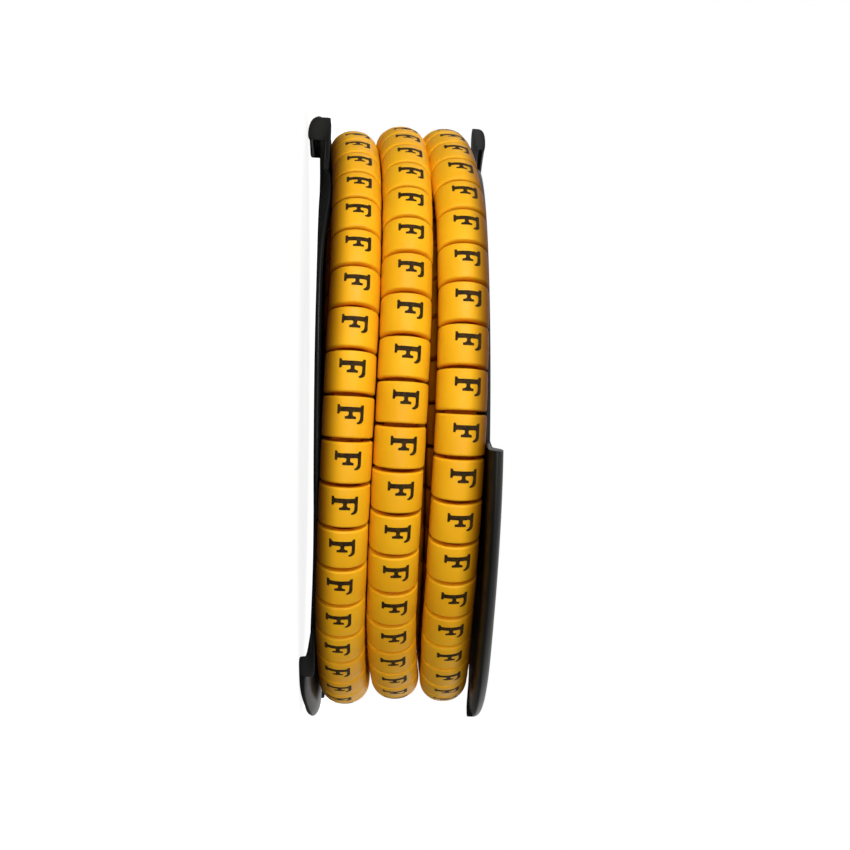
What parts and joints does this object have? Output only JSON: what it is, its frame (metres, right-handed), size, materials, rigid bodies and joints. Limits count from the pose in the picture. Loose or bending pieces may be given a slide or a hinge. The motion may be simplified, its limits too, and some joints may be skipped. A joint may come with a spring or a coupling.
{
  "type": "cable marker reel",
  "caption": "Flat reel wound with a string of soft letter-printed cable marker rings, three columns wide, between two black flanges with ears.",
  "frame": {"origin": "on the reel's axis, at the bottom of the lower flange's ears", "axes": "+Z along the reel's axis, away from the lower flange; the picture looks along +Y with +Z to its right"},
  "size_m": [0.082, 0.0816, 0.0248],
  "materials": {
    "lower_reel_half": "glossy black",
    "upper_reel_half": "glossy black",
    "marker_roll": "soft semi-gloss orange-yellow vinyl with black print"
  },
  "bodies": {
    "root": {"lower_reel_half": "lower_reel_half", "upper_reel_half": "upper_reel_half", "marker_roll": "marker_roll"}
  },
  "joints": []
}
